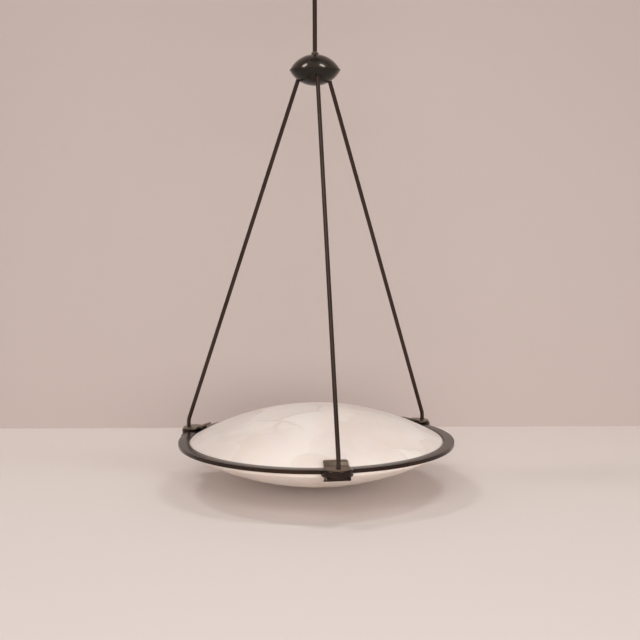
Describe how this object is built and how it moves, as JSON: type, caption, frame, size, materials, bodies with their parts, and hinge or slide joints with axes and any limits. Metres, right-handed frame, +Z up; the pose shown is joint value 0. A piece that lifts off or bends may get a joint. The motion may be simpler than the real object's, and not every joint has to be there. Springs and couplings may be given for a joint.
{
  "type": "ceiling lamp",
  "caption": "Pendant ceiling lamp: an alabaster lens in a dark bronze hoop, held by clips and slanting rods from a lens-shaped hub on a rigid stem.",
  "frame": {"origin": "centre of the ceiling strap's top face, at the ceiling", "axes": "+Z up along the stem, the first rod toward -Y"},
  "size_m": [0.5429, 0.5681, 1.0344],
  "materials": {
    "dark_bronze": "semi-gloss dark bronze",
    "zinc_steel": "zinc plated",
    "rubber": "soft matte",
    "white_ceramic": "glazed white",
    "alabaster": "honed, faintly veined",
    "opal_bulb": "opal"
  },
  "bodies": {
    "ceiling": {"ceiling_strap": "zinc_steel", "ceiling_hook": "zinc_steel"},
    "link": {"swivel_link": "zinc_steel"},
    "pendant": {"stem_fork": "zinc_steel", "link_pin": "zinc_steel", "stem": "dark_bronze", "stem_nuts": "zinc_steel", "hub_core": "zinc_steel", "rod_set_screws": "zinc_steel", "hub_lower_shell": "dark_bronze", "hoop_ring": "dark_bronze", "upper_dish": "alabaster", "lower_dish": "alabaster", "rim_gasket": "rubber", "lower_bumpers": "rubber", "foot_nuts": "zinc_steel", "lamp_carrier": "zinc_steel", "terminal_block": "white_ceramic", "block_screws": "zinc_steel", "rod_1": "dark_bronze", "lug_1": "dark_bronze", "lower_clip_1": "dark_bronze", "lampholder_1": "white_ceramic", "bulb_1": "opal_bulb", "rod_2": "dark_bronze", "lug_2": "dark_bronze", "lower_clip_2": "dark_bronze", "lampholder_2": "white_ceramic", "bulb_2": "opal_bulb", "rod_3": "dark_bronze", "lug_3": "dark_bronze", "lower_clip_3": "dark_bronze", "lampholder_3": "white_ceramic", "bulb_3": "opal_bulb"},
    "canopy": {"canopy": "dark_bronze", "canopy_collar": "dark_bronze", "canopy_grub_screw": "zinc_steel"},
    "hub_cover": {"hub_upper_shell": "dark_bronze", "hub_collar": "dark_bronze", "hub_grub_screw": "zinc_steel"},
    "clip_1": {"clip_1": "dark_bronze", "clip_bumper_1": "rubber"},
    "clip_2": {"clip_2": "dark_bronze", "clip_bumper_2": "rubber"},
    "clip_3": {"clip_3": "dark_bronze", "clip_bumper_3": "rubber"}
  },
  "joints": [
    {"name": "link_swing", "type": "hinge", "parent": "ceiling", "child": "link", "pos_m": [0, 0, -0.02808], "axis": [0, 1, 0], "range_deg": [-3, 3]},
    {"name": "stem_swing", "type": "hinge", "parent": "link", "child": "pendant", "pos_m": [0, 0, -0.05078], "axis": [1, 0, 0], "range_deg": [-3, 3]},
    {"name": "canopy_slide", "type": "slide", "parent": "pendant", "child": "canopy", "axis": [0, 0, 1], "range_m": [-0.06, 0]},
    {"name": "hub_cover_lift", "type": "slide", "parent": "pendant", "child": "hub_cover", "axis": [0, 0, 1], "range_m": [0, 0.05]},
    {"name": "clip_swivel_1", "type": "hinge", "parent": "pendant", "child": "clip_1", "pos_m": [0, -0.285, -0.9479], "axis": [0, 0, 1], "continuous": true},
    {"name": "clip_swivel_2", "type": "hinge", "parent": "pendant", "child": "clip_2", "pos_m": [0.24682, 0.1425, -0.9479], "axis": [0, 0, 1], "continuous": true},
    {"name": "clip_swivel_3", "type": "hinge", "parent": "pendant", "child": "clip_3", "pos_m": [-0.24682, 0.1425, -0.9479], "axis": [0, 0, 1], "continuous": true}
  ]
}
